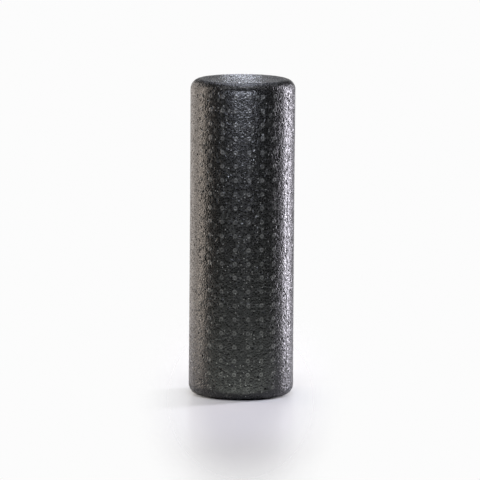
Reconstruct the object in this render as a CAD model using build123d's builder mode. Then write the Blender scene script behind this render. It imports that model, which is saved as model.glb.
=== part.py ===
from build123d import *
from math import sqrt
import os

# Massage roller of high-density bead foam, moulded in one shot in a steam chest, standing on one end.
# Millimetres, +Z up along the roller. The origin is the centre of the bottom end face.
# The moulding has two zones: a dense closed skin, and the bead foam that it holds.

# The moulding
length = 457.0  # from end face to end face
barrel_diameter = 151.0
edge_radius = 15.0  # rounding between the side and both end faces
skin_thickness = 2.0  # melted outer layer, closed all round

# Marks of the steam vents, which dot the tool's walls
vent_width = 6.0  # across the corners
vent_depth = 0.5
vents_around = 24  # columns of vents round the side
vent_row_pitch = 20.0  # between rows, along the roller
vent_strip_width = 7.0  # flat strip that holds one column of vents
vent_strip_margin = 0.25  # of plain barrel between the strips and the roundings
end_vent_pitch = 18.5  # between rings of vents on the end faces

# Parting line, where the two halves of the tool meet, on opposite sides of the roller
parting_angle = -30.0  # about +Z from +X, to one of its two sides
flash_height = 0.4
flash_width = 1.2
slot_length = 7.0  # steam slot in the tool's rim, one beside each row of vents
slot_depth = 0.5

# Ring that the filling nozzle leaves on the bottom end face
nozzle_diameter = 22.0
nozzle_ring_width = 1.2
nozzle_ring_depth = 0.5

# Worked out from the sizes above
barrel_radius = barrel_diameter / 2
core_radius = barrel_radius - skin_thickness
core_chamfer = (2 - sqrt(2)) * (edge_radius - skin_thickness)  # its flat touches the inset rounding
straight = length - 2 * edge_radius
strip_length = straight - 2 * vent_strip_margin
strip_radius = sqrt(barrel_radius**2 - vent_strip_width**2 / 4)  # from the axis to a flat strip
vent_rows = int((strip_length - vent_width) / vent_row_pitch) + 1
vent_angle = 360 / vents_around
end_vent_rings = int((barrel_radius - edge_radius - vent_width / 2) / end_vent_pitch)
top_face = Plane.XY.offset(length)
bottom_face = -Plane.XY
parting_plane = Plane.XZ.shift_origin((0, 0, length / 2)).rotated((0, 0, parting_angle))


# Bead foam inside, which fills the skin face to face
with BuildPart() as bead_core:
    with BuildSketch(Plane.XY.offset(skin_thickness)):
        Circle(core_radius)
    extrude(amount=length - 2 * skin_thickness)
    chamfer(bead_core.edges().filter_by(GeomType.CIRCLE), core_chamfer)

# One vent's mark, a shallow pit with four sides and its mouth at the origin
with BuildPart() as vent_mark:
    with BuildSketch() as vent_mouth:
        RegularPolygon(vent_width / 2, 4)
    loft(sections=[vent_mouth.face(), Vertex(0, 0, -vent_depth)])

# Skin, with everything that the tool prints on it
with BuildPart() as moulded_skin:
    with BuildSketch():
        Circle(barrel_radius)
    extrude(amount=length)
    fillet(moulded_skin.edges().filter_by(GeomType.CIRCLE), edge_radius)

    # Flash of the parting line, along the straight of both sides
    with BuildSketch(parting_plane):
        Rectangle(barrel_diameter + 2 * flash_height, straight)
    extrude(amount=flash_width / 2, both=True)

    # Steam slots, which break the flash beside each row of vents
    with BuildSketch(parting_plane):
        with GridLocations(0, vent_row_pitch, 1, vent_rows):
            Rectangle(2 * barrel_diameter, slot_length)
        Rectangle(barrel_diameter - 2 * slot_depth, length, mode=Mode.SUBTRACT)
    extrude(amount=flash_width / 2, both=True, mode=Mode.SUBTRACT)

    # Vent marks of the end faces, in rings of six, twelve and so on
    for face_plane in (top_face, bottom_face):
        with Locations(face_plane):
            for ring in range(1, end_vent_rings + 1):
                with PolarLocations(ring * end_vent_pitch, 6 * ring):
                    add(vent_mark.part, mode=Mode.SUBTRACT)

    with BuildSketch(bottom_face):
        Circle(nozzle_diameter / 2)
        Circle(nozzle_diameter / 2 - nozzle_ring_width, mode=Mode.SUBTRACT)
    extrude(amount=-nozzle_ring_depth, mode=Mode.SUBTRACT)

    # Hollow for the core
    add(bead_core.part, mode=Mode.SUBTRACT)

    # Flat strips down the side, which give the vent marks flat ground
    with BuildSketch(Plane.XY.offset(length / 2)):
        with PolarLocations(strip_radius, vents_around, vent_angle / 2):
            Rectangle(edge_radius, 2 * vent_strip_width, align=(Align.MIN, Align.CENTER))
    extrude(amount=strip_length / 2, both=True, mode=Mode.SUBTRACT)

    # Vent marks of the side, in rows that go round over all the strips
    side_spots = []
    for row in range(vent_rows):
        row_height = length / 2 + (row - (vent_rows - 1) / 2) * vent_row_pitch
        with Locations((0, 0, row_height)):
            row_spots = PolarLocations(strip_radius, vents_around, vent_angle / 2).locations
        side_spots += [spot * Rotation(0, 90, 0) for spot in row_spots]
    with Locations(*side_spots):
        add(vent_mark.part, mode=Mode.SUBTRACT)

os.makedirs("parts", exist_ok=True)
for name, piece in (("moulded_skin", moulded_skin), ("bead_core", bead_core)):
    piece.part.label = name
    export_step(piece.part, f"parts/{name}.step")
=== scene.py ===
from math import cos, pi, radians, sin

import bpy
from mathutils import Matrix, Vector


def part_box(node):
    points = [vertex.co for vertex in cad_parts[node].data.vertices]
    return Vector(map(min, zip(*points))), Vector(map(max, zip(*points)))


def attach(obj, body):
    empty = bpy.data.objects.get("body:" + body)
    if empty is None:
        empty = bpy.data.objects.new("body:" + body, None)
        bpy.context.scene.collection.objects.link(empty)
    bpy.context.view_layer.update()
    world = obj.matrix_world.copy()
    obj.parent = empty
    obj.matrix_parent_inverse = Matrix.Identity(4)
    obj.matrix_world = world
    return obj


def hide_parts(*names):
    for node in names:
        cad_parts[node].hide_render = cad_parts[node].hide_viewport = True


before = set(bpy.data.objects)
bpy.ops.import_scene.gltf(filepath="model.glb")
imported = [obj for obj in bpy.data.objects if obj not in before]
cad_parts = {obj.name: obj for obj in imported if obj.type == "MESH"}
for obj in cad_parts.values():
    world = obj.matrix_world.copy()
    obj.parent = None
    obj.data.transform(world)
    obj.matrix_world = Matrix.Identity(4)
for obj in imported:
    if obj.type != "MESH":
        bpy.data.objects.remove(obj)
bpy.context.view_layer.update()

bl_info = {
    "name": "Foam Roller",
    "version": (1, 0, 0),
    "blender": (4, 5, 0),
    "location": "3D View > Sidebar > Foam Roller",
    "description": "Dresses the packed frame of a steam-moulded bead-foam massage roller and sets its stage",
    "category": "Object",
}

MM = 0.001
MATH = "ShaderNodeMath"
VECTOR = "ShaderNodeVectorMath"
RANGE = "ShaderNodeMapRange"

skin_low, skin_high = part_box("moulded_skin")

# Beads
BEAD_SPREAD = 0.9  # how unevenly the beads lie, from 0 for a lattice to 1
PLAIN_BEADS = 0.85  # share of the beads that tilt no more than their neighbours
STEEPEST_BEAD = 18.0  # slope of the most tilted bead, against a plain one's
FLAT_CROWN = 0.1 * MM  # how far the flattest bead's face drops, a bead's width from its middle
ROUND_CROWN = 1.6 * MM  # and the roundest one's, which few beads come near
ROUND_RARITY = 8.0  # power that keeps round beads few
GROOVE_REACH = 0.11  # from the joint of two beads, as a share of a bead
GROOVE_DEPTH = 0.15 * MM
BEADS_ON_MARKS = 0.15  # share of the beads' relief that is left where a vent has pressed them
WALL_BLEND = 0.1 * MM  # over which a bead bends flat against the tool's wall

# Slow waves, and the cells that hold a pit, a pale dot painted as a glint, or neither
WAVES = 60.0  # per metre
WAVE_DEPTH = 0.15 * MM
CELLS = 260.0  # per metre, so 3.8 mm apart
PIT_CELLS = 0.2  # cells that draw less than this have a pit
PIT_FLOOR = 0.05  # from its middle to the end of its floor, as a share of a cell
PIT_MOUTH = 0.24
PIT_DEPTH = 0.5 * MM
# Such cells get a pale dot painted on the skin where a glint would be: a painted highlight.
PAINTED_GLINT_CELLS = 0.75  # cells that draw more than this have a speck
PAINTED_GLINT_MIDDLE = 0.1  # full tone out to here, as a share of a cell, and none past the edge
PAINTED_GLINT_EDGE = 0.3

# Vent marks, as shares of a mark's width
RIM_MIDDLE = 0.375  # from the mark's centre
RIM_HALF = 0.15
MARK_EDGE = 0.5
MARK_FADE = 0.65
DIMPLE_DEPTH = 0.9  # against the rim's height
MARKS_PER_RING = 6  # more in each ring of the end faces than in the one inside it

# Flash: where its top ends and its foot ends, as shares of its width, and how high it and its steam slots
# lie, as shares of its height
FLASH_TOP = 0.3
FLASH_FOOT = 0.8
FLASH_LEVEL = 0.8
SLOT_LEVEL = -1.2

# How pale the scuffs and the painted highlights are, from 0 for plain skin to 1 for the pale colour that
# paints both
DIMPLE_SCUFF_AND_HIGHLIGHT = 0.35  # of a mark's dimple, against its rim
LEAST_RIM_SCUFF_AND_HIGHLIGHT = 0.24
MOST_RIM_SCUFF_AND_HIGHLIGHT = 0.45
FLASH_SCUFF_AND_HIGHLIGHT = 0.3

# The nozzle's ring: half widths of its floor and its mouth, and its depth
RING_FLOOR = 0.3 * MM
RING_MOUTH = 1.2 * MM
RING_DEPTH = 0.4 * MM

# Floor, room and framing
FLOOR_HALF_WIDTH = 0.5
FLOOR_HALF_DEPTH = 1.2
FADE_START = 0.2  # from the roller's axis, to the front and back
FADE_END = 1.1
SIDE_FADE = 7.0  # how many times sooner the floor fades to the sides
ROOM_LEVEL = 0.04
BACKDROP_LEVEL = 0.973
OFF_CENTRE = (-0.00275, -0.0052, 0)  # the camera's aim, a little left of and below the roller's middle

SEED = 3.0  # of all that is drawn at random


def linear(code):
    """An sRGB hex colour as linear red, green and blue."""
    parts = [int(code[i : i + 2], 16) / 255 for i in (1, 3, 5)]
    return [c / 12.92 if c <= 0.04045 else ((c + 0.055) / 1.055) ** 2.4 for c in parts]


def add(tree, kind, sockets=(), **settings):
    """Adds a node with its settings, and fills its sockets from values, sockets or nodes' first outputs."""
    node = tree.nodes.new(kind)
    for name, value in settings.items():
        setattr(node, name, value)
    pairs = sockets.items() if isinstance(sockets, dict) else enumerate(sockets)
    for key, value in pairs:
        if isinstance(value, bpy.types.Node):
            value = value.outputs[0]
        if isinstance(value, bpy.types.NodeSocket):
            tree.links.new(value, node.inputs[key])
        else:
            node.inputs[key].default_value = value
    return node


class MouldingSizes(bpy.types.PropertyGroup):
    """Sizes of the moulding's outline and of the marks that its tool leaves."""

    edge_radius: bpy.props.FloatProperty(
        name="Edge Radius", description="Rounding between the side and both end faces",
        default=15 * MM, unit="LENGTH", subtype="DISTANCE",
    )
    waist: bpy.props.FloatProperty(
        name="Waist", description="How far the side shrinks in at mid length as the foam cools",
        default=0.4 * MM, unit="LENGTH", subtype="DISTANCE",
    )
    bead_size: bpy.props.FloatProperty(
        name="Bead Size", description="Width of the foam's beads",
        default=3.2 * MM, unit="LENGTH", subtype="DISTANCE",
    )
    bead_tilt: bpy.props.FloatProperty(
        name="Bead Tilt", description="Greatest slope of one bead's face against its neighbours",
        default=0.055, subtype="FACTOR", min=0, max=2,
    )
    mark_pitch: bpy.props.FloatProperty(
        name="Mark Pitch", description="Distance between rows of steam-vent marks",
        default=20 * MM, unit="LENGTH", subtype="DISTANCE",
    )
    mark_rows: bpy.props.IntProperty(
        name="Mark Rows", description="Rows of vent marks along the side", default=22, min=1,
    )
    marks_around: bpy.props.IntProperty(
        name="Marks Around", description="Vent marks in one row", default=24, min=3,
    )
    mark_width: bpy.props.FloatProperty(
        name="Mark Width", description="Width across a vent mark",
        default=6 * MM, unit="LENGTH", subtype="DISTANCE",
    )
    mark_height: bpy.props.FloatProperty(
        name="Mark Height", description="Height of a vent mark's rim",
        default=0.3 * MM, unit="LENGTH", subtype="DISTANCE",
    )
    end_mark_pitch: bpy.props.FloatProperty(
        name="End Mark Pitch", description="Distance between rings of vent marks on the end faces",
        default=18.5 * MM, unit="LENGTH", subtype="DISTANCE",
    )
    parting_angle: bpy.props.FloatProperty(
        name="Parting Angle", description="Where the tool's halves meet, about the axis",
        default=radians(-30), unit="ROTATION", subtype="ANGLE",
    )
    flash_width: bpy.props.FloatProperty(
        name="Flash Width", description="Width of the parting line's flash",
        default=1.2 * MM, unit="LENGTH", subtype="DISTANCE",
    )
    flash_height: bpy.props.FloatProperty(
        name="Flash Height", description="Height of the parting line's flash",
        default=0.4 * MM, unit="LENGTH", subtype="DISTANCE",
    )
    slot_length: bpy.props.FloatProperty(
        name="Slot Length", description="Length of a steam slot beside each row of vents",
        default=7 * MM, unit="LENGTH", subtype="DISTANCE",
    )
    nozzle_diameter: bpy.props.FloatProperty(
        name="Nozzle Diameter", description="Width of the filling nozzle's ring on the bottom face",
        default=22 * MM, unit="LENGTH", subtype="DISTANCE",
    )
    facet: bpy.props.FloatProperty(
        name="Facet", description="Spacing of the moulding's vertices",
        default=0.6 * MM, unit="LENGTH", subtype="DISTANCE",
    )


class FoamColours(bpy.types.PropertyGroup):
    """Colours of the foam."""

    skin: bpy.props.FloatVectorProperty(
        name="Skin", description="Melted skin of the beads", default=linear("#0f0f0e"), size=3,
        subtype="COLOR", min=0, max=1,
    )
    # Painted highlight in part: on the skin these pale beads are a random tone and also stand in for glints.
    pale_bead: bpy.props.FloatVectorProperty(
        name="Rubbed Skin", description="Skin rubbed against the tool as the moulding leaves it",
        default=linear("#3b3b39"), size=3, subtype="COLOR", min=0, max=1,
    )
    # Painted shade in part: besides the dark joints, this colour darkens the pits in the skin, a painted
    # shade.
    joint_and_pit_shade: bpy.props.FloatVectorProperty(
        name="Bead Joint", description="Grooves between the beads", default=linear("#090909"), size=3,
        subtype="COLOR", min=0, max=1,
    )
    # Painted highlight as well as scuffing: this pale colour marks the vent rims and the flash where they
    # catch the light, and paints the specks as glints.
    scuffed_and_highlit: bpy.props.FloatVectorProperty(
        name="Scuffed Skin", description="Rims of the vent marks, the flash and high specks, scuffed pale",
        default=linear("#908f8b"), size=3, subtype="COLOR", min=0, max=1,
    )
    core: bpy.props.FloatVectorProperty(
        name="Core", description="Bead foam under the skin", default=linear("#252526"), size=3,
        subtype="COLOR", min=0, max=1,
    )


class StudioLook(bpy.types.PropertyGroup):
    """Floor, lamps and camera."""

    floor: bpy.props.FloatVectorProperty(
        name="Floor", description="Colour of the floor", default=linear("#f7f7f8"), size=3,
        subtype="COLOR", min=0, max=1,
    )
    distance: bpy.props.FloatProperty(
        name="Camera Distance", description="From the camera to the roller's middle",
        default=10.0, unit="LENGTH", subtype="DISTANCE",
    )
    elevation: bpy.props.FloatProperty(
        name="Camera Elevation", description="How far the camera looks down",
        default=radians(7.6), unit="ROTATION", subtype="ANGLE",
    )
    roll: bpy.props.FloatProperty(
        name="Camera Roll", description="Lean of the camera, to its left",
        default=radians(0.42), unit="ROTATION", subtype="ANGLE",
    )
    view_width: bpy.props.FloatProperty(
        name="View Width", description="What the picture spans at the roller",
        default=0.691, unit="LENGTH", subtype="DISTANCE",
    )


def moulding_tree():
    """The moulding as one skin, laid out along its outline and turned about its axis."""
    tree = bpy.data.node_groups.new("Foam Moulding", "GeometryNodeTree")
    tree.interface.new_socket("Geometry", in_out="OUTPUT", socket_type="NodeSocketGeometry")
    for name in (
        "Length", "Radius", "Edge Radius", "Waist", "Bead Size", "Bead Tilt", "Mark Pitch", "Mark Rows",
        "Marks Around", "Mark Width", "Mark Height", "End Mark Pitch", "Parting Angle", "Flash Width",
        "Flash Height", "Slot Length", "Nozzle Diameter", "Columns", "Rows", "Seed",
    ):
        tree.interface.new_socket(name, in_out="INPUT", socket_type="NodeSocketFloat")
    tree.interface.new_socket("Material", in_out="INPUT", socket_type="NodeSocketMaterial")
    size = add(tree, "NodeGroupInput").outputs

    # A sheet whose width goes once round the axis, and whose height follows the outline from pole to pole
    columns = add(tree, MATH, (size["Columns"], 1.0), operation="ADD")
    rows = add(tree, MATH, (size["Rows"], 1.0), operation="ADD")
    sheet = add(tree, "GeometryNodeMeshGrid", (1.0, 1.0, columns, rows))
    place = add(tree, "ShaderNodeSeparateXYZ", (sheet.outputs["UV Map"],))
    turn = add(tree, MATH, (place, 2 * pi), operation="MULTIPLY")

    # The outline: half of a bottom face, the side and half of a top face, with its corners rounded
    low_corner = add(tree, "ShaderNodeCombineXYZ", (size["Radius"], 0.0, 0.0))
    high_corner = add(tree, "ShaderNodeCombineXYZ", (size["Radius"], 0.0, size["Length"]))
    high_pole = add(tree, "ShaderNodeCombineXYZ", (0.0, 0.0, size["Length"]))
    corners = add(
        tree, "GeometryNodeCurvePrimitiveQuadrilateral",
        {"Point 1": (0, 0, 0), "Point 2": low_corner, "Point 3": high_corner, "Point 4": high_pole},
        mode="POINTS",
    )
    opened = add(tree, "GeometryNodeSetSplineCyclic", {0: corners, "Cyclic": False})
    outline = add(
        tree, "GeometryNodeFilletCurve",
        {"Curve": opened, "Count": 32, "Radius": size["Edge Radius"]}, mode="POLY",
    )
    spot = add(
        tree, "GeometryNodeSampleCurve", {"Curves": outline, "Factor": place.outputs["Y"]}, mode="FACTOR"
    )
    heading = add(tree, "ShaderNodeSeparateXYZ", (spot.outputs["Tangent"],))
    inward = add(tree, MATH, (heading.outputs["X"], -1.0), operation="MULTIPLY")
    facing = add(tree, "ShaderNodeCombineXYZ", (heading.outputs["Z"], 0.0, inward))
    base = add(
        tree, "ShaderNodeVectorRotate",
        {"Vector": spot.outputs["Position"], "Angle": turn}, rotation_type="Z_AXIS",
    )
    outward = add(tree, "ShaderNodeVectorRotate", {"Vector": facing, "Angle": turn}, rotation_type="Z_AXIS")
    reach = add(tree, "ShaderNodeSeparateXYZ", (spot.outputs["Position"],))
    middle = add(tree, MATH, (size["Length"], -0.5, reach.outputs["Z"]), operation="MULTIPLY_ADD")
    off_middle = add(tree, MATH, (middle,), operation="ABSOLUTE")
    flat_reach = add(tree, MATH, (size["Radius"], size["Edge Radius"]), operation="SUBTRACT")
    on_end = add(tree, MATH, (reach, flat_reach), operation="LESS_THAN")

    # Shrinkage, most at mid length and none on the end faces
    half = add(tree, MATH, (size["Length"], 0.5), operation="MULTIPLY")
    along = add(tree, MATH, (middle, half), operation="DIVIDE")
    bow = add(tree, MATH, (along, along), operation="MULTIPLY")
    shrink = add(tree, RANGE, (bow, 0.0, 1.0, size["Waist"], 0.0))
    on_side = add(tree, RANGE, (heading.outputs["Z"], 0.0, 1.0, 0.0, 1.0), interpolation_type="SMOOTHSTEP")
    shrunk = add(tree, MATH, (shrink, on_side), operation="MULTIPLY")

    # Distance to the middle of the nearest vent mark, on the side
    span = add(tree, MATH, (size["Mark Rows"], size["Mark Pitch"]), operation="MULTIPLY")
    half_span = add(tree, MATH, (span, 0.5), operation="MULTIPLY")
    row_start = add(tree, MATH, (middle, half_span), operation="ADD")
    row_wrap = add(tree, MATH, (row_start, size["Mark Pitch"], 0.0), operation="WRAP")
    from_row = add(tree, MATH, (size["Mark Pitch"], -0.5, row_wrap), operation="MULTIPLY_ADD")
    column_turn = add(tree, MATH, (place, size["Marks Around"]), operation="MULTIPLY")
    column_part = add(tree, MATH, (column_turn,), operation="FRACT")
    column_half = add(tree, MATH, (column_part, 0.5), operation="SUBTRACT")
    column_angle = add(tree, MATH, (column_half, size["Marks Around"]), operation="DIVIDE")
    girth = add(tree, MATH, (size["Radius"], 2 * pi), operation="MULTIPLY")
    from_column = add(tree, MATH, (column_angle, girth), operation="MULTIPLY")
    side_offset = add(tree, "ShaderNodeCombineXYZ", (from_column, from_row, 0.0))
    side_gap = add(tree, VECTOR, (side_offset,), operation="LENGTH")
    past_rows = add(tree, MATH, (off_middle, half_span), operation="GREATER_THAN")
    side_near = add(tree, MATH, (side_gap.outputs["Value"], past_rows), operation="ADD")

    # And on the end faces, where each ring holds six more than the one inside it
    ring_share = add(tree, MATH, (reach, size["End Mark Pitch"]), operation="DIVIDE")
    ring_whole = add(tree, MATH, (ring_share,), operation="ROUND")
    ring = add(tree, MATH, (ring_whole, 1.0), operation="MAXIMUM")
    ring_marks = add(tree, MATH, (ring, MARKS_PER_RING), operation="MULTIPLY")
    ring_turn = add(tree, MATH, (place, ring_marks, 0.5), operation="MULTIPLY_ADD")
    ring_part = add(tree, MATH, (ring_turn,), operation="FRACT")
    ring_half = add(tree, MATH, (ring_part, 0.5), operation="SUBTRACT")
    ring_angle = add(tree, MATH, (ring_half, ring_marks), operation="DIVIDE")
    ring_girth = add(tree, MATH, (reach, 2 * pi), operation="MULTIPLY")
    ring_along = add(tree, MATH, (ring_angle, ring_girth), operation="MULTIPLY")
    ring_reach = add(tree, MATH, (ring, size["End Mark Pitch"]), operation="MULTIPLY")
    ring_across = add(tree, MATH, (reach, ring_reach), operation="SUBTRACT")
    end_offset = add(tree, "ShaderNodeCombineXYZ", (ring_along, ring_across, 0.0))
    end_gap = add(tree, VECTOR, (end_offset,), operation="LENGTH")
    gap = add(
        tree, "GeometryNodeSwitch",
        {"Switch": on_end, "False": side_near, "True": end_gap.outputs["Value"]}, input_type="FLOAT",
    )

    # A vent leaves a raised rim round a dimple
    rim_reach = add(tree, MATH, (size["Mark Width"], RIM_MIDDLE), operation="MULTIPLY")
    rim_gap = add(tree, MATH, (gap, rim_reach), operation="SUBTRACT")
    rim_off = add(tree, MATH, (rim_gap,), operation="ABSOLUTE")
    rim_half = add(tree, MATH, (size["Mark Width"], RIM_HALF), operation="MULTIPLY")
    rim = add(tree, RANGE, (rim_off, 0.0, rim_half, 1.0, 0.0), interpolation_type="SMOOTHSTEP")
    dimple = add(
        tree, RANGE, (gap, 0.0, rim_reach, -DIMPLE_DEPTH, 0.0), interpolation_type="SMOOTHSTEP"
    )
    mark_shape = add(tree, MATH, (rim, dimple), operation="ADD")
    mark_rise = add(tree, MATH, (mark_shape, size["Mark Height"]), operation="MULTIPLY")
    mark_edge = add(tree, MATH, (size["Mark Width"], MARK_EDGE), operation="MULTIPLY")
    mark_fade = add(tree, MATH, (size["Mark Width"], MARK_FADE), operation="MULTIPLY")
    mark_area = add(tree, RANGE, (gap, mark_edge, mark_fade, 1.0, 0.0), interpolation_type="SMOOTHSTEP")

    # The parting line: flash down both sides, sunk where the steam slots meet the rows of vents
    parting_turn = add(tree, MATH, (turn, size["Parting Angle"]), operation="SUBTRACT")
    parting_wrap = add(tree, MATH, (parting_turn, pi / 2, -pi / 2), operation="WRAP")
    parting_side = add(tree, MATH, (parting_wrap, size["Radius"]), operation="MULTIPLY")
    parting_gap = add(tree, MATH, (parting_side,), operation="ABSOLUTE")
    flash_edge = add(tree, MATH, (size["Flash Width"], FLASH_TOP), operation="MULTIPLY")
    flash_foot = add(tree, MATH, (size["Flash Width"], FLASH_FOOT), operation="MULTIPLY")
    flash_shape = add(
        tree, RANGE, (parting_gap, flash_edge, flash_foot, 1.0, 0.0), interpolation_type="SMOOTHSTEP"
    )
    straight = add(tree, MATH, (half, size["Edge Radius"]), operation="SUBTRACT")
    on_straight = add(tree, MATH, (off_middle, straight), operation="LESS_THAN")
    flash_area = add(tree, MATH, (flash_shape, on_straight), operation="MULTIPLY")
    row_gap = add(tree, MATH, (from_row,), operation="ABSOLUTE")
    half_slot = add(tree, MATH, (size["Slot Length"], 0.5), operation="MULTIPLY")
    beside_vents = add(tree, MATH, (row_gap, half_slot), operation="LESS_THAN")
    flash_rise = add(tree, RANGE, (beside_vents, 0.0, 1.0, FLASH_LEVEL, SLOT_LEVEL))
    flash_part = add(tree, MATH, (flash_area, flash_rise), operation="MULTIPLY")
    flash_lift = add(tree, MATH, (flash_part, size["Flash Height"]), operation="MULTIPLY")

    # The filling nozzle's ring, sunk in the bottom face
    nozzle_reach = add(tree, MATH, (size["Nozzle Diameter"], 0.5), operation="MULTIPLY")
    nozzle_gap = add(tree, MATH, (reach, nozzle_reach), operation="SUBTRACT")
    nozzle_off = add(tree, MATH, (nozzle_gap,), operation="ABSOLUTE")
    nozzle_shape = add(
        tree, RANGE, (nozzle_off, RING_FLOOR, RING_MOUTH, -RING_DEPTH, 0.0), interpolation_type="SMOOTHSTEP"
    )
    at_bottom = add(tree, MATH, (reach.outputs["Z"], MM), operation="LESS_THAN")
    nozzle_drop = add(tree, MATH, (nozzle_shape, at_bottom), operation="MULTIPLY")

    # The beads: each one's face is domed, tilts its own way and meets its neighbours in a groove
    seed_step = add(tree, "ShaderNodeCombineXYZ", (size["Seed"], size["Seed"], 0.0))
    bead_place = add(tree, VECTOR, (base, seed_step), operation="ADD")
    bead_count = add(tree, MATH, (1.0, size["Bead Size"]), operation="DIVIDE")
    beads = {"Vector": bead_place, "Scale": bead_count, "Randomness": BEAD_SPREAD}
    bead = add(tree, "ShaderNodeTexVoronoi", beads)
    bead_edge = add(tree, "ShaderNodeTexVoronoi", beads, feature="DISTANCE_TO_EDGE")
    from_bead = add(tree, VECTOR, (bead_place, bead.outputs["Position"]), operation="SUBTRACT")
    bead_lean = add(tree, VECTOR, (bead.outputs["Color"], (0.5, 0.5, 0.5)), operation="SUBTRACT")
    bead_slope = add(tree, VECTOR, (from_bead, bead_lean), operation="DOT_PRODUCT")
    bead_draw = add(tree, "ShaderNodeSeparateXYZ", (bead.outputs["Color"],))
    bead_rare = add(tree, RANGE, (bead_draw.outputs["Y"], PLAIN_BEADS, 1.0, 1.0, STEEPEST_BEAD))
    bead_steep = add(tree, MATH, (size["Bead Tilt"], bead_rare), operation="MULTIPLY")
    bead_tip = add(tree, MATH, (bead_slope.outputs["Value"], bead_steep), operation="MULTIPLY")
    bead_round = add(tree, MATH, (bead_draw.outputs["Z"], ROUND_RARITY), operation="POWER")
    bead_crown = add(tree, RANGE, (bead_round, 0.0, 1.0, -FLAT_CROWN, -ROUND_CROWN))
    bead_square = add(tree, MATH, (bead.outputs["Distance"], bead.outputs["Distance"]), operation="MULTIPLY")
    bead_dome = add(tree, MATH, (bead_square, bead_crown), operation="MULTIPLY")
    bead_groove = add(
        tree, RANGE, (bead_edge, 0.0, GROOVE_REACH, 1.0, 0.0), interpolation_type="SMOOTHSTEP"
    )
    bead_cut = add(tree, MATH, (bead_groove, -GROOVE_DEPTH), operation="MULTIPLY")
    bead_face = add(tree, MATH, (bead_tip, bead_dome), operation="ADD")
    bead_whole = add(tree, MATH, (bead_face, bead_cut), operation="ADD")
    bead_free = add(tree, RANGE, (mark_area, 0.0, 1.0, 1.0, BEADS_ON_MARKS))
    bead_rise = add(tree, MATH, (bead_whole, bead_free), operation="MULTIPLY")

    # Slow unevenness, and pits where beads did not fuse
    wave = add(tree, "ShaderNodeTexNoise", {"Vector": bead_place, "Scale": WAVES, "Detail": 2.0})
    wave_rise = add(tree, RANGE, (wave, 0.2, 0.8, -WAVE_DEPTH, 0.0))
    cell = add(tree, "ShaderNodeTexVoronoi", {"Vector": bead_place, "Scale": CELLS})
    cell_draw = add(tree, "ShaderNodeSeparateXYZ", (cell.outputs["Color"],))
    pit_here = add(tree, MATH, (cell_draw, PIT_CELLS), operation="LESS_THAN")
    pit_shape = add(
        tree, RANGE, (cell.outputs["Distance"], PIT_FLOOR, PIT_MOUTH, 1.0, 0.0),
        interpolation_type="SMOOTHSTEP",
    )
    pit_area = add(tree, MATH, (pit_shape, pit_here), operation="MULTIPLY")
    pit_drop = add(tree, MATH, (pit_area, -PIT_DEPTH), operation="MULTIPLY")

    # All of it along the surface's own direction. The beads lie flat where they meet the tool's wall.
    bead_wave = add(tree, MATH, (bead_rise, wave_rise), operation="ADD")
    bead_pit = add(tree, MATH, (bead_wave, pit_drop), operation="ADD")
    bead_flat = add(tree, MATH, (bead_pit, 0.0, WALL_BLEND), operation="SMOOTH_MIN")
    lift_one = add(tree, MATH, (bead_flat, mark_rise), operation="ADD")
    lift_two = add(tree, MATH, (lift_one, flash_lift), operation="ADD")
    lift_three = add(tree, MATH, (lift_two, nozzle_drop), operation="ADD")
    lift_most = add(tree, RANGE, (on_end, 0.0, 1.0, size["Flash Height"], 0.0))
    lift_four = add(tree, MATH, (lift_three, lift_most), operation="MINIMUM")
    lift_whole = add(tree, MATH, (lift_four, shrunk), operation="SUBTRACT")
    lift = add(tree, VECTOR, {"Vector": outward, "Scale": lift_whole}, operation="SCALE")
    skin_place = add(tree, VECTOR, (base, lift), operation="ADD")

    # What the material reads: each bead's own tone, the dark joints and the pits painted darker as shade,
    # and where the skin is painted pale, scuffing that is also a painted highlight on the rims of the vent
    # marks and along the flash, and painted glints at specks all over
    # The pits share the joints' dark colour: painted shade in these recesses.
    joint_and_pit_shade = add(tree, MATH, (bead_groove, pit_area), operation="MAXIMUM")
    toned = add(
        tree, "GeometryNodeStoreNamedAttribute",
        {"Geometry": sheet, "Name": "bead_tone", "Value": bead_draw}, data_type="FLOAT", domain="POINT",
    )
    jointed = add(
        tree, "GeometryNodeStoreNamedAttribute",
        {"Geometry": toned, "Name": "bead_joints_and_pit_shade", "Value": joint_and_pit_shade}, data_type="FLOAT", domain="POINT",
    )
    # The rims and the flash are painted pale: scuffing, and also a painted highlight where these ridges
    # catch the side light.
    mark_ring = add(tree, RANGE, (rim, 0.0, 1.0, DIMPLE_SCUFF_AND_HIGHLIGHT, 1.0))
    mark_scuff_and_highlight = add(tree, RANGE, (wave, 0.35, 0.65, LEAST_RIM_SCUFF_AND_HIGHLIGHT, MOST_RIM_SCUFF_AND_HIGHLIGHT))
    mark_print = add(tree, MATH, (mark_area, mark_ring), operation="MULTIPLY")
    mark_tone = add(tree, MATH, (mark_print, mark_scuff_and_highlight), operation="MULTIPLY")
    flash_tone = add(tree, MATH, (flash_area, FLASH_SCUFF_AND_HIGHLIGHT), operation="MULTIPLY")
    tool_marks = add(tree, MATH, (mark_tone, flash_tone), operation="MAXIMUM")
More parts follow.
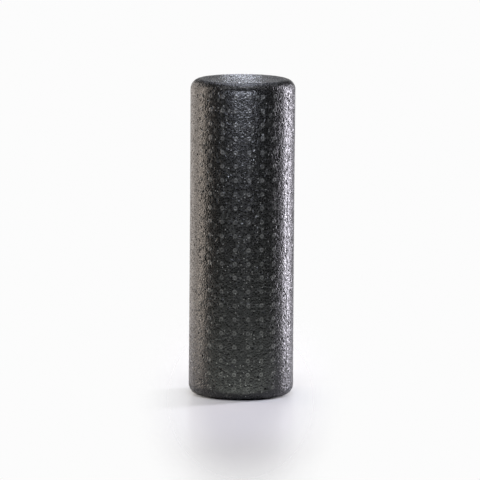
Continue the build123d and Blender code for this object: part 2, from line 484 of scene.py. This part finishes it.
    # Pale dots all over, painted as glints: a painted highlight.
    painted_glint_here = add(tree, MATH, (cell_draw, PAINTED_GLINT_CELLS), operation="GREATER_THAN")
    painted_glint_shape = add(
        tree, RANGE, (cell.outputs["Distance"], PAINTED_GLINT_MIDDLE, PAINTED_GLINT_EDGE, 1.0, 0.0),
        interpolation_type="SMOOTHSTEP",
    )
    painted_glint = add(tree, MATH, (painted_glint_shape, painted_glint_here), operation="MULTIPLY")
    scuffed_and_highlit = add(tree, MATH, (tool_marks, painted_glint), operation="MAXIMUM")
    marked = add(
        tree, "GeometryNodeStoreNamedAttribute",
        {"Geometry": jointed, "Name": "scuff_and_highlight", "Value": scuffed_and_highlit}, data_type="FLOAT", domain="POINT",
    )
    mapped = add(
        tree, "GeometryNodeStoreNamedAttribute",
        {"Geometry": marked, "Name": "OFBake", "Value": sheet.outputs["UV Map"]},
        data_type="FLOAT2", domain="CORNER",
    )

    # The sheet becomes the moulding, its seam and poles close, and it ends as a plain mesh
    rolled = add(tree, "GeometryNodeSetPosition", {"Geometry": mapped, "Position": skin_place})
    closed = add(tree, "GeometryNodeMergeByDistance", {"Geometry": rolled, "Distance": MM / 1000})
    smooth = add(tree, "GeometryNodeSetShadeSmooth", {"Geometry": closed})
    real = add(tree, "GeometryNodeRealizeInstances", (smooth,))
    dressed = add(tree, "GeometryNodeSetMaterial", {"Geometry": real, "Material": size["Material"]})
    add(tree, "NodeGroupOutput", (dressed,))
    return tree


def moulded_skin_material(colours):
    """
    Expanded polypropylene, steam-moulded. Its beads are melted to a black skin with the soft sheen of satin
    plastic. They differ a little in tone and polish, and the palest of them also stand in for glints, a
    painted highlight. The joints between them are duller and darker, and the pits are painted darker too, a
    painted shade. Whatever stands proud is painted grey, a scuffing that on the vent rims and the flash is
    also a painted highlight, and the pale specks all over are painted glints.
    """
    material = bpy.data.materials.new("steam_moulded_epp")
    material.use_nodes = True
    tree = material.node_tree
    tree.nodes.clear()
    tone = add(tree, "ShaderNodeAttribute", attribute_name="bead_tone")
    joint_and_pit_shade = add(tree, "ShaderNodeAttribute", attribute_name="bead_joints_and_pit_shade")
    scuff_and_highlight = add(tree, "ShaderNodeAttribute", attribute_name="scuff_and_highlight")
    place = add(tree, "ShaderNodeTexCoord")
    # The palest beads are painted pale: a random tone, and painted glints as well.
    rub_and_glint = add(tree, RANGE, (tone.outputs["Fac"], 0.8, 1.0, 0.0, 1.0))
    rubbed_and_glinting = add(
        tree, "ShaderNodeMix", {0: rub_and_glint, 6: (*colours.skin, 1), 7: (*colours.pale_bead, 1)}, data_type="RGBA"
    )
    # Pale paint on the rims, the flash and the specks: scuffing, painted highlights and painted glints.
    scuffed_and_highlit = add(
        tree, "ShaderNodeMix", {0: scuff_and_highlight.outputs["Fac"], 6: rubbed_and_glinting.outputs[2], 7: (*colours.scuffed_and_highlit, 1)},
        data_type="RGBA",
    )
    # Dark joints, and the pits darkened as painted shade.
    tinted = add(
        tree, "ShaderNodeMix", {0: joint_and_pit_shade.outputs["Fac"], 6: scuffed_and_highlit.outputs[2], 7: (*colours.joint_and_pit_shade, 1)},
        data_type="RGBA",
    )
    sheen = add(tree, RANGE, (tone.outputs["Fac"], 0.0, 1.0, 0.18, 0.27))
    rough = add(tree, RANGE, (joint_and_pit_shade.outputs["Fac"], 0.0, 1.0, sheen, 0.65))
    # The grain that the tool's wall prints is about 0.3 mm, too fine to show, and is drawn 2 mm coarse.
    grain = add(
        tree, "ShaderNodeTexNoise", {"Vector": place.outputs["Object"], "Scale": 500.0, "Detail": 2.0}
    )
    bump = add(tree, "ShaderNodeBump", {"Height": grain, "Strength": 0.2, "Distance": 0.2 * MM})
    shader = add(
        tree, "ShaderNodeBsdfPrincipled",
        {"Base Color": tinted.outputs[2], "Roughness": rough, "Normal": bump, "IOR": 1.49},
    )
    add(tree, "ShaderNodeOutputMaterial", {"Surface": shader})
    return material


def core_material(colours):
    """
    The same foam as a saw leaves it: open cells, dull all over, with the outline of each bead, 3.2 mm wide,
    still to be seen.
    """
    material = bpy.data.materials.new("sawn_epp_bead_foam")
    material.use_nodes = True
    tree = material.node_tree
    tree.nodes.clear()
    place = add(tree, "ShaderNodeTexCoord")
    bead = add(tree, "ShaderNodeTexVoronoi", {"Vector": place.outputs["Object"], "Scale": 312.0})
    edge = add(
        tree, "ShaderNodeTexVoronoi", {"Vector": place.outputs["Object"], "Scale": 312.0},
        feature="DISTANCE_TO_EDGE",
    )
    groove = add(tree, RANGE, (edge, 0.0, 0.12, 1.0, 0.0))
    tone = add(tree, "ShaderNodeSeparateColor", (bead.outputs["Color"],))
    shade = add(
        tree, "ShaderNodeMix", {0: tone, 6: (*colours.core, 1), 7: (*colours.pale_bead, 1)}, data_type="RGBA"
    )
    tinted = add(
        tree, "ShaderNodeMix", {0: groove, 6: shade.outputs[2], 7: (*colours.joint_and_pit_shade, 1)}, data_type="RGBA"
    )
    # The foam's cells are about 0.2 mm, and are drawn 0.7 mm coarse, so that they show.
    cells = add(tree, "ShaderNodeTexNoise", {"Vector": place.outputs["Object"], "Scale": 1500.0})
    height = add(tree, MATH, (groove, -1.0, cells), operation="MULTIPLY_ADD")
    bump = add(tree, "ShaderNodeBump", {"Height": height, "Strength": 0.5, "Distance": 0.3 * MM})
    rough = add(tree, RANGE, (tone, 0.0, 1.0, 0.75, 0.9))
    shader = add(
        tree, "ShaderNodeBsdfPrincipled",
        {"Base Color": tinted.outputs[2], "Roughness": rough, "Normal": bump, "IOR": 1.49},
    )
    add(tree, "ShaderNodeOutputMaterial", {"Surface": shader})
    return material


class FOAM_OT_moulding(bpy.types.Operator):
    """Make the moulding with its beads, vent marks, parting line and nozzle ring"""

    bl_idname = "foam_roller.moulding"
    bl_label = "Make Moulding"

    def execute(self, context):
        sizes = context.scene.foam_sizes
        radius = (skin_high.x - skin_low.x) / 2
        length = skin_high.z - skin_low.z
        outline = 2 * radius + length - (4 - pi) * sizes.edge_radius
        columns = sizes.marks_around * round(2 * pi * radius / sizes.facet / sizes.marks_around)
        values = {
            "Length": length, "Radius": radius, "Edge Radius": sizes.edge_radius, "Waist": sizes.waist,
            "Bead Size": sizes.bead_size, "Bead Tilt": sizes.bead_tilt, "Mark Pitch": sizes.mark_pitch,
            "Mark Rows": sizes.mark_rows, "Marks Around": sizes.marks_around, "Mark Width": sizes.mark_width,
            "Mark Height": sizes.mark_height, "End Mark Pitch": sizes.end_mark_pitch,
            "Parting Angle": sizes.parting_angle, "Flash Width": sizes.flash_width,
            "Flash Height": sizes.flash_height, "Slot Length": sizes.slot_length,
            "Nozzle Diameter": sizes.nozzle_diameter, "Columns": columns,
            "Rows": round(outline / sizes.facet), "Seed": SEED,
            "Material": moulded_skin_material(context.scene.foam_colours),
        }
        piece = bpy.data.objects.new("foam_moulding", bpy.data.meshes.new("foam_moulding"))
        context.scene.collection.objects.link(piece)
        tree = moulding_tree()
        making = piece.modifiers.new("making", "NODES")
        making.node_group = tree
        for item in tree.interface.items_tree:
            if item.in_out == "INPUT":
                value = values[item.name]
                making[item.identifier] = value if item.name == "Material" else float(value)
        graph = context.evaluated_depsgraph_get()
        made = bpy.data.meshes.new_from_object(
            piece.evaluated_get(graph), preserve_all_data_layers=True, depsgraph=graph
        )
        piece.modifiers.remove(making)
        piece.data = made
        made.name = "foam_moulding"
        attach(piece, "root")
        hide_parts("moulded_skin")
        return {"FINISHED"}


class FOAM_OT_core(bpy.types.Operator):
    """Give the bead foam under the skin its material"""

    bl_idname = "foam_roller.core"
    bl_label = "Finish Core"

    def execute(self, context):
        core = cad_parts["bead_core"]
        core.data.materials.clear()
        core.data.materials.append(core_material(context.scene.foam_colours))
        return {"FINISHED"}


def floor_material(look):
    """Matt white acrylic sheet: even and pale, with a faint soft reflection at a low angle."""
    material = bpy.data.materials.new("matt_acrylic_sheet")
    material.use_nodes = True
    tree = material.node_tree
    tree.nodes.clear()

    # Seen directly, the sheet fades out into the backdrop, sooner to the sides than to the front and back.
    # Reflections and shadows meet the whole of it.
    place = add(tree, "ShaderNodeTexCoord")
    spread = add(tree, VECTOR, (place.outputs["Object"], (SIDE_FADE, 1.0, 1.0)), operation="MULTIPLY")
    reach = add(tree, VECTOR, (spread,), operation="LENGTH")
    near = add(
        tree, RANGE, (reach.outputs["Value"], FADE_START, FADE_END, 1.0, 0.0),
        interpolation_type="SMOOTHSTEP",
    )
    ray = add(tree, "ShaderNodeLightPath")
    unseen = add(tree, MATH, (1.0, ray.outputs["Is Camera Ray"]), operation="SUBTRACT")
    solid = add(tree, MATH, (near, unseen), operation="MAXIMUM")
    sheet = add(
        tree, "ShaderNodeBsdfPrincipled",
        {"Base Color": (*look.floor, 1), "Roughness": 0.25, "IOR": 1.49, "Specular IOR Level": 0.15},
    )
    clear = add(tree, "ShaderNodeBsdfTransparent")
    mixed = add(tree, "ShaderNodeMixShader", (solid, clear, sheet))
    add(tree, "ShaderNodeOutputMaterial", {"Surface": mixed})
    return material


def room(look):
    """The studio: a white backdrop behind the roller, a dim room on the camera's side."""
    world = bpy.data.worlds.new("studio")
    world.use_nodes = True
    tree = world.node_tree
    tree.nodes.clear()

    # Direct sight meets the backdrop's white everywhere. Reflections meet it only behind the roller and low
    # down, and all else is the dim room.
    way = add(tree, "ShaderNodeTexCoord")
    parts = add(tree, "ShaderNodeSeparateXYZ", (way.outputs["Generated"],))
    across = add(
        tree, RANGE, (parts.outputs["Y"], 0.85, 0.97, 0.0, 1.0), interpolation_type="SMOOTHSTEP"
    )
    height = add(
        tree, RANGE, (parts.outputs["Z"], 0.12, 0.3, 1.0, 0.0), interpolation_type="SMOOTHSTEP"
    )
    behind = add(tree, MATH, (across, height), operation="MULTIPLY")
    ray = add(tree, "ShaderNodeLightPath")
    mirrored = add(
        tree, MATH, (ray.outputs["Is Glossy Ray"], ray.outputs["Is Transmission Ray"]), operation="MAXIMUM"
    )
    mirrors_backdrop = add(tree, MATH, (mirrored, behind), operation="MULTIPLY")
    sees_backdrop = add(tree, MATH, (ray.outputs["Is Camera Ray"], mirrors_backdrop), operation="MAXIMUM")
    level = add(tree, RANGE, (sees_backdrop, 0.0, 1.0, ROOM_LEVEL, BACKDROP_LEVEL))
    light = add(tree, "ShaderNodeBackground", {"Color": (1, 1, 1, 1), "Strength": level})
    add(tree, "ShaderNodeOutputWorld", {"Surface": light})
    return world


# Lamps: name, bearing from the camera's side (to its right), distance, height, height that it aims at, width
# and height of the panel, colour, brightness of the panel. The last two lie on the floor and face up.
LAMPS = (
    ("left_panel", -101, 1.7, 0.6, 0.6, 0.65, 1.8, "#fff0e2", 5.8),
    ("left_wing", -135, 1.7, 0.6, 0.6, 1.1, 1.8, "#fff4ec", 2.1),
    ("right_strip", 117, 1.7, 0.6, 0.6, 0.36, 1.8, "#f7f3ff", 26.0),
    ("right_wing", 134, 1.7, 0.6, 0.6, 0.7, 1.8, "#f7f3ff", 0.4),
    ("front_box", 0, 0.4, 0.5, 0.4, 0.3, 0.1, "#e9eeff", 15.5),
    ("high_front_box", 0, 0.9, 0.75, 0.4, 0.4, 0.3, "#f2f4ff", 3.0),
    ("top_box", 0, 0.2, 1.6, 1.6, 1.0, 1.0, "#ffffff", 7.4),
    ("over_strip", 180, 0.25, 1.2, 0.4, 0.3, 0.9, "#e9eeff", 4.3),
    ("back_strip", 180, 0.35, 0.5, 0.4, 0.05, 0.03, "#e8efff", 7.0),
    ("floor_panel", 0, 0.43, 0.006, 100, 1.2, 0.7, "#f4fff0", 0.6),
    ("base_panel", 0, 0.12, 0.006, 100, 0.3, 0.07, "#f4fff0", 0.9),
)


class FOAM_OT_stage(bpy.types.Operator):
    """Set the floor, the lamps, the room and the camera"""

    bl_idname = "foam_roller.stage"
    bl_label = "Set Stage"

    def execute(self, context):
        scene = context.scene
        look = scene.foam_studio
        turns = [i * pi / 48 for i in range(96)]
        rim = [(FLOOR_HALF_WIDTH * cos(turn), FLOOR_HALF_DEPTH * sin(turn), 0) for turn in turns]
        mesh = bpy.data.meshes.new("floor")
        mesh.from_pydata(rim, [], [range(len(rim))])
        floor = bpy.data.objects.new("floor", mesh)
        mesh.materials.append(floor_material(look))
        scene.collection.objects.link(floor)

        middle = Vector((0, 0, (skin_low.z + skin_high.z) / 2))
        for name, bearing, distance, height, aim_height, width, tall, colour, brightness in LAMPS:
            lamp = bpy.data.lights.new(name, "AREA")
            lamp.shape = "RECTANGLE"
            lamp.size = width
            lamp.size_y = tall
            lamp.color = linear(colour)
            lamp.energy = brightness * pi * width * tall
            stand = bpy.data.objects.new(name, lamp)
            turn = radians(bearing)
            stand.location = (distance * sin(turn), -distance * cos(turn), height)
            aim = Vector((0, 0, aim_height)) - stand.location
            stand.rotation_euler = aim.to_track_quat("-Z", "Y").to_euler()
            stand.visible_camera = False
            scene.collection.objects.link(stand)

        scene.world = room(look)
        scene.view_settings.view_transform = "Standard"

        camera = bpy.data.cameras.new("camera")
        camera.sensor_width = 36
        camera.lens = camera.sensor_width * look.distance / look.view_width
        camera.clip_end = 100
        stand = bpy.data.objects.new("camera", camera)
        back = Vector((0, -cos(look.elevation), sin(look.elevation)))
        turned = back.to_track_quat("Z", "Y").to_matrix() @ Matrix.Rotation(look.roll, 3, "Z")
        aim = middle + turned @ Vector(OFF_CENTRE)
        stand.matrix_world = Matrix.Translation(aim + back * look.distance) @ turned.to_4x4()
        scene.collection.objects.link(stand)
        scene.camera = stand
        return {"FINISHED"}


OPERATORS = (FOAM_OT_moulding, FOAM_OT_core, FOAM_OT_stage)
GROUPS = {"foam_sizes": MouldingSizes, "foam_colours": FoamColours, "foam_studio": StudioLook}


class FOAM_PT_sidebar(bpy.types.Panel):
    """Sizes, colours and steps of the foam roller"""

    bl_idname = "FOAM_PT_sidebar"
    bl_label = "Foam Roller"
    bl_space_type = "VIEW_3D"
    bl_region_type = "UI"
    bl_category = "Foam Roller"

    def draw(self, context):
        for name, group in GROUPS.items():
            box = self.layout.box()
            for prop in group.__annotations__:
                box.prop(getattr(context.scene, name), prop)
        for operator in OPERATORS:
            self.layout.operator(operator.bl_idname)


def register():
    for cls in (*GROUPS.values(), *OPERATORS, FOAM_PT_sidebar):
        bpy.utils.register_class(cls)
    for name, group in GROUPS.items():
        setattr(bpy.types.Scene, name, bpy.props.PointerProperty(type=group))


def unregister():
    for name in GROUPS:
        delattr(bpy.types.Scene, name)
    for cls in reversed((*GROUPS.values(), *OPERATORS, FOAM_PT_sidebar)):
        bpy.utils.unregister_class(cls)


def main():
    register()
    bpy.ops.foam_roller.moulding()
    bpy.ops.foam_roller.core()
    bpy.ops.foam_roller.stage()


if __name__ == "__main__":
    main()
